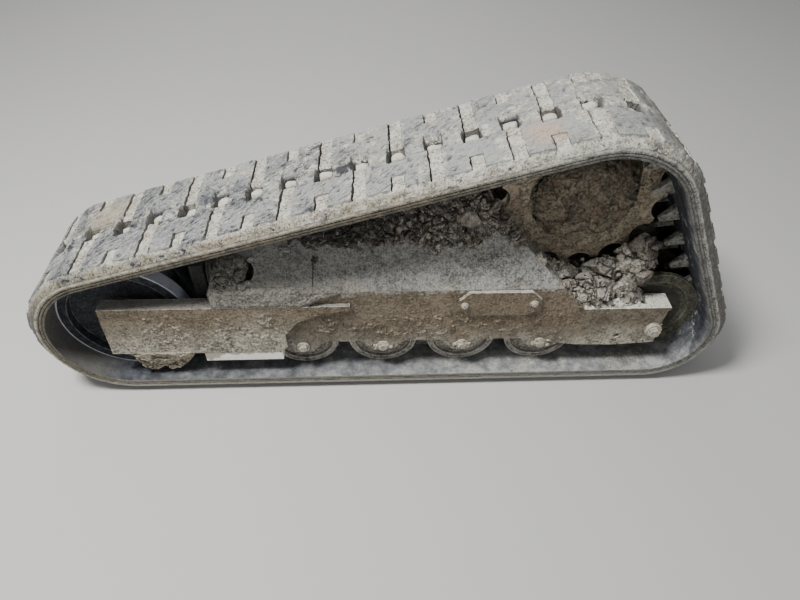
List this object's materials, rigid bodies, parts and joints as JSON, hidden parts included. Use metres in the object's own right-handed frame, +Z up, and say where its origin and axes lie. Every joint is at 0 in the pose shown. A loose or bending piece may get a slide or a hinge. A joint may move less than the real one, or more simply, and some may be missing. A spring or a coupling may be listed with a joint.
{
  "type": "rubber track undercarriage",
  "caption": "Left-hand rubber track undercarriage of a compact track loader: raised drive sprocket, idlers, rollers and steel track frame inside an endless lugged belt",
  "frame": {"origin": "centre of the bounding box's base, on the ground under the track", "axes": "+X to the rear of the loader (drive sprocket end), -Y outboard, +Y inboard towards the loader, +Z up"},
  "size_m": [1.7836, 0.396, 0.7663],
  "materials": {
    "track_rubber": "worn, dusty, with dried mud in the grooves",
    "frame_steel": "grey paint under dried mud and dust",
    "bare_steel": "rubbed bright, dusty",
    "cast_steel": "brown, caked with dried mud"
  },
  "bodies": {
    "undercarriage": {"rubber_track": "track_rubber", "deck_body": "frame_steel", "outer_plate": "frame_steel", "inner_plate": "frame_steel", "front_guard_outer": "frame_steel", "front_guard_inner": "frame_steel", "rear_beam": "frame_steel", "access_cover": "frame_steel", "yoke_arm_outer": "frame_steel", "yoke_arm_inner": "frame_steel", "yoke_back": "frame_steel", "mounting_leg_front": "frame_steel", "mounting_leg_rear": "frame_steel", "mounting_foot_front": "frame_steel", "mounting_foot_rear": "frame_steel", "wear_strip_outer": "bare_steel", "wear_strip_inner": "bare_steel", "tensioner": "bare_steel", "recoil_spring": "bare_steel", "front_axle": "bare_steel", "rear_axle": "bare_steel", "roller_axle_1": "bare_steel", "roller_axle_2": "bare_steel", "roller_axle_3": "bare_steel", "roller_axle_4": "bare_steel", "roller_1": "cast_steel", "roller_2": "cast_steel", "roller_3": "cast_steel", "roller_4": "cast_steel", "sprocket": "cast_steel", "drive_case": "cast_steel", "drive_motor": "cast_steel"},
    "front_idler_wheel": {"front_idler": "cast_steel"},
    "rear_idler_wheel": {"rear_idler": "cast_steel"}
  },
  "joints": [
    {"name": "front_idler_spin", "type": "hinge", "parent": "undercarriage", "child": "front_idler_wheel", "pos_m": [-0.67586, -0.038, 0.216], "axis": [0, 1, 0], "continuous": true},
    {"name": "rear_idler_spin", "type": "hinge", "parent": "undercarriage", "child": "rear_idler_wheel", "pos_m": [0.70886, -0.038, 0.183], "axis": [0, 1, 0], "continuous": true}
  ]
}
